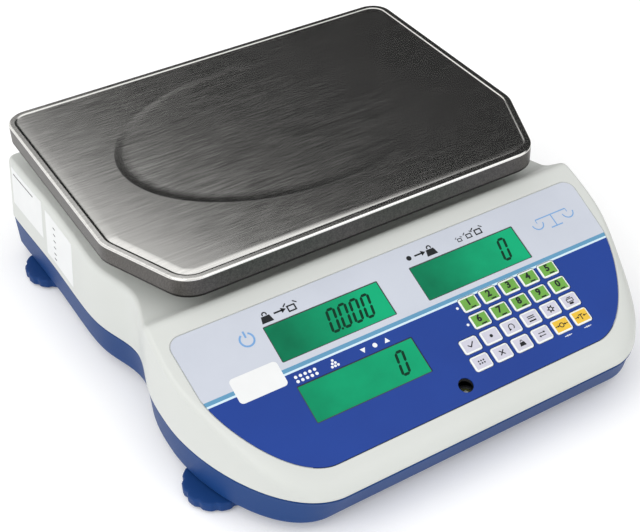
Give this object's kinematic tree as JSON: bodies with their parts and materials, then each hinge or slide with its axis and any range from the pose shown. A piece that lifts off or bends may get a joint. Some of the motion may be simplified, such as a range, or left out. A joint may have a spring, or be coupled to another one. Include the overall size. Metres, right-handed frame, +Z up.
{
  "type": "counting scale",
  "caption": "Bench counting scale: lift-off steel pan on a load cell, white and blue housing, sloped panel with displays and a keypad, and levelling feet.",
  "frame": {"origin": "on the surface it stands on, under the middle of the housing", "axes": "+Z up, -Y towards the user and the control panel, +X to the user's right"},
  "size_m": [0.33, 0.3556, 0.11],
  "materials": {
    "pan_steel": "fine brushed stainless, satin",
    "cast_aluminium": "die cast, satin",
    "machined_aluminium": "machined, anodised",
    "rubber_pads": "matte",
    "zinc_steel": "zinc plated",
    "white_shell": "fine moulded texture, semi-matt",
    "blue_base": "fine moulded texture, semi-matt",
    "panel_film": "printed polyester film",
    "key_green": "printed, embossed film",
    "key_white": "printed, embossed film",
    "key_yellow": "printed, embossed film",
    "display_green": "backlit liquid-crystal display",
    "circuit_board": "solder-masked glass-epoxy",
    "black_plastic": "moulded",
    "connector_metal": "tin plated",
    "rocker_red": "moulded",
    "battery_case": "moulded",
    "vial_acrylic": "clear, tinted liquid",
    "cable_jacket": "soft sheath",
    "ribbon_grey": "flat cable",
    "brass": "turned"
  },
  "bodies": {
    "base": {"upper_housing": "white_shell", "lower_housing": "blue_base", "panel_overlay": "panel_film", "weight_display": "display_green", "piece_weight_display": "display_green", "count_display": "display_green", "display_board": "circuit_board", "keypad_board": "circuit_board", "main_board": "circuit_board", "buzzer": "black_plastic", "power_inlet": "black_plastic", "serial_port": "connector_metal", "power_switch": "black_plastic", "load_cell": "machined_aluminium", "load_cell_base_block": "machined_aluminium", "load_cell_bolts": "zinc_steel", "overload_stops": "zinc_steel", "battery": "battery_case", "battery_cover": "blue_base", "level_vial": "vial_acrylic", "load_cell_cable": "cable_jacket", "display_ribbon": "ribbon_grey", "foot_inserts": "brass", "housing_screws": "zinc_steel"},
    "platform": {"pan_support": "cast_aluminium", "pan_pads": "rubber_pads", "platform_bolts": "zinc_steel", "load_cell_top_block": "machined_aluminium"},
    "pan": {"weighing_pan": "pan_steel"},
    "rocker": {"power_rocker": "rocker_red"},
    "key_1_cap": {"key_1": "key_green"},
    "key_2_cap": {"key_2": "key_green"},
    "key_3_cap": {"key_3": "key_green"},
    "key_4_cap": {"key_4": "key_green"},
    "key_5_cap": {"key_5": "key_green"},
    "key_6_cap": {"key_6": "key_green"},
    "key_7_cap": {"key_7": "key_green"},
    "key_8_cap": {"key_8": "key_green"},
    "key_9_cap": {"key_9": "key_green"},
    "key_0_cap": {"key_0": "key_green"},
    "key_check_cap": {"key_check": "key_white"},
    "key_point_cap": {"key_point": "key_white"},
    "key_recall_cap": {"key_recall": "key_white"},
    "key_total_cap": {"key_total": "key_white"},
    "key_setup_cap": {"key_setup": "key_white"},
    "key_print_cap": {"key_print": "key_white"},
    "key_sample_cap": {"key_sample": "key_white"},
    "key_clear_cap": {"key_clear": "key_white"},
    "key_piece_weight_cap": {"key_piece_weight": "key_white"},
    "key_units_cap": {"key_units": "key_white"},
    "key_zero_cap": {"key_zero": "key_yellow"},
    "key_tare_cap": {"key_tare": "key_yellow"},
    "stud_front_left": {"foot_stud_front_left": "zinc_steel"},
    "knob_front_left": {"foot_knob_front_left": "blue_base"},
    "stud_front_right": {"foot_stud_front_right": "zinc_steel"},
    "knob_front_right": {"foot_knob_front_right": "blue_base"},
    "stud_rear_left": {"foot_stud_rear_left": "zinc_steel"},
    "knob_rear_left": {"foot_knob_rear_left": "blue_base"},
    "stud_rear_right": {"foot_stud_rear_right": "zinc_steel"},
    "knob_rear_right": {"foot_knob_rear_right": "blue_base"}
  },
  "joints": [
    {"name": "platform_deflection", "type": "slide", "parent": "base", "child": "platform", "axis": [0, 0, -1], "range_m": [0, 0.0004], "stiffness_N_per_m": 40000, "springref_m": -0.0004, "deforming": ["load_cell"]},
    {"name": "pan_lift_off", "type": "slide", "parent": "platform", "child": "pan", "axis": [0, 0, 1], "range_m": [0, 0.04]},
    {"name": "power_rocker_tilt", "type": "hinge", "parent": "base", "child": "rocker", "pos_m": [0.1, -0.0662, 0.0115], "axis": [0, 1, 0], "range_deg": [-16, 0]},
    {"name": "key_1_press", "type": "slide", "parent": "base", "child": "key_1_cap", "axis": [0, 0.3843, -0.9232], "range_m": [0, 0.0004], "stiffness_N_per_m": 250, "springref_m": -0.0002},
    {"name": "key_2_press", "type": "slide", "parent": "base", "child": "key_2_cap", "axis": [0, 0.3843, -0.9232], "range_m": [0, 0.0004], "stiffness_N_per_m": 250, "springref_m": -0.0002},
    {"name": "key_3_press", "type": "slide", "parent": "base", "child": "key_3_cap", "axis": [0, 0.3843, -0.9232], "range_m": [0, 0.0004], "stiffness_N_per_m": 250, "springref_m": -0.0002},
    {"name": "key_4_press", "type": "slide", "parent": "base", "child": "key_4_cap", "axis": [0, 0.3843, -0.9232], "range_m": [0, 0.0004], "stiffness_N_per_m": 250, "springref_m": -0.0002},
    {"name": "key_5_press", "type": "slide", "parent": "base", "child": "key_5_cap", "axis": [0, 0.3843, -0.9232], "range_m": [0, 0.0004], "stiffness_N_per_m": 250, "springref_m": -0.0002},
    {"name": "key_6_press", "type": "slide", "parent": "base", "child": "key_6_cap", "axis": [0, 0.3843, -0.9232], "range_m": [0, 0.0004], "stiffness_N_per_m": 250, "springref_m": -0.0002},
    {"name": "key_7_press", "type": "slide", "parent": "base", "child": "key_7_cap", "axis": [0, 0.3843, -0.9232], "range_m": [0, 0.0004], "stiffness_N_per_m": 250, "springref_m": -0.0002},
    {"name": "key_8_press", "type": "slide", "parent": "base", "child": "key_8_cap", "axis": [0, 0.3843, -0.9232], "range_m": [0, 0.0004], "stiffness_N_per_m": 250, "springref_m": -0.0002},
    {"name": "key_9_press", "type": "slide", "parent": "base", "child": "key_9_cap", "axis": [0, 0.3843, -0.9232], "range_m": [0, 0.0004], "stiffness_N_per_m": 250, "springref_m": -0.0002},
    {"name": "key_0_press", "type": "slide", "parent": "base", "child": "key_0_cap", "axis": [0, 0.3843, -0.9232], "range_m": [0, 0.0004], "stiffness_N_per_m": 250, "springref_m": -0.0002},
    {"name": "key_check_press", "type": "slide", "parent": "base", "child": "key_check_cap", "axis": [0, 0.3843, -0.9232], "range_m": [0, 0.0004], "stiffness_N_per_m": 250, "springref_m": -0.0002},
    {"name": "key_point_press", "type": "slide", "parent": "base", "child": "key_point_cap", "axis": [0, 0.3843, -0.9232], "range_m": [0, 0.0004], "stiffness_N_per_m": 250, "springref_m": -0.0002},
    {"name": "key_recall_press", "type": "slide", "parent": "base", "child": "key_recall_cap", "axis": [0, 0.3843, -0.9232], "range_m": [0, 0.0004], "stiffness_N_per_m": 250, "springref_m": -0.0002},
    {"name": "key_total_press", "type": "slide", "parent": "base", "child": "key_total_cap", "axis": [0, 0.3843, -0.9232], "range_m": [0, 0.0004], "stiffness_N_per_m": 250, "springref_m": -0.0002},
    {"name": "key_setup_press", "type": "slide", "parent": "base", "child": "key_setup_cap", "axis": [0, 0.3843, -0.9232], "range_m": [0, 0.0004], "stiffness_N_per_m": 250, "springref_m": -0.0002},
    {"name": "key_print_press", "type": "slide", "parent": "base", "child": "key_print_cap", "axis": [0, 0.3843, -0.9232], "range_m": [0, 0.0004], "stiffness_N_per_m": 250, "springref_m": -0.0002},
    {"name": "key_sample_press", "type": "slide", "parent": "base", "child": "key_sample_cap", "axis": [0, 0.3843, -0.9232], "range_m": [0, 0.0004], "stiffness_N_per_m": 250, "springref_m": -0.0002},
    {"name": "key_clear_press", "type": "slide", "parent": "base", "child": "key_clear_cap", "axis": [0, 0.3843, -0.9232], "range_m": [0, 0.0004], "stiffness_N_per_m": 250, "springref_m": -0.0002},
    {"name": "key_piece_weight_press", "type": "slide", "parent": "base", "child": "key_piece_weight_cap", "axis": [0, 0.3843, -0.9232], "range_m": [0, 0.0004], "stiffness_N_per_m": 250, "springref_m": -0.0002},
    {"name": "key_units_press", "type": "slide", "parent": "base", "child": "key_units_cap", "axis": [0, 0.3843, -0.9232], "range_m": [0, 0.0004], "stiffness_N_per_m": 250, "springref_m": -0.0002},
    {"name": "key_zero_press", "type": "slide", "parent": "base", "child": "key_zero_cap", "axis": [0, 0.3843, -0.9232], "range_m": [0, 0.0004], "stiffness_N_per_m": 250, "springref_m": -0.0002},
    {"name": "key_tare_press", "type": "slide", "parent": "base", "child": "key_tare_cap", "axis": [0, 0.3843, -0.9232], "range_m": [0, 0.0004], "stiffness_N_per_m": 250, "springref_m": -0.0002},
    {"name": "foot_height_front_left", "type": "slide", "parent": "base", "child": "stud_front_left", "axis": [0, 0, -1], "range_m": [0, 0.0051]},
    {"name": "foot_turn_front_left", "type": "hinge", "parent": "stud_front_left", "child": "knob_front_left", "pos_m": [-0.14, -0.1057, 0.004], "axis": [0, 0, -1], "range_deg": [0, 1440]},
    {"name": "foot_height_front_right", "type": "slide", "parent": "base", "child": "stud_front_right", "axis": [0, 0, -1], "range_m": [0, 0.0051]},
    {"name": "foot_turn_front_right", "type": "hinge", "parent": "stud_front_right", "child": "knob_front_right", "pos_m": [0.14, -0.1057, 0.004], "axis": [0, 0, -1], "range_deg": [0, 1440]},
    {"name": "foot_height_rear_left", "type": "slide", "parent": "base", "child": "stud_rear_left", "axis": [0, 0, -1], "range_m": [0, 0.0051]},
    {"name": "foot_turn_rear_left", "type": "hinge", "parent": "stud_rear_left", "child": "knob_rear_left", "pos_m": [-0.144, 0.1348, 0.004], "axis": [0, 0, -1], "range_deg": [0, 1440]},
    {"name": "foot_height_rear_right", "type": "slide", "parent": "base", "child": "stud_rear_right", "axis": [0, 0, -1], "range_m": [0, 0.0051]},
    {"name": "foot_turn_rear_right", "type": "hinge", "parent": "stud_rear_right", "child": "knob_rear_right", "pos_m": [0.144, 0.1348, 0.004], "axis": [0, 0, -1], "range_deg": [0, 1440]}
  ],
  "couplings": [
    {"joint": "foot_height_front_left", "follows": "foot_turn_front_left", "m_per_rad": 0.00019894},
    {"joint": "foot_height_front_right", "follows": "foot_turn_front_right", "m_per_rad": 0.00019894},
    {"joint": "foot_height_rear_left", "follows": "foot_turn_rear_left", "m_per_rad": 0.00019894},
    {"joint": "foot_height_rear_right", "follows": "foot_turn_rear_right", "m_per_rad": 0.00019894}
  ]
}
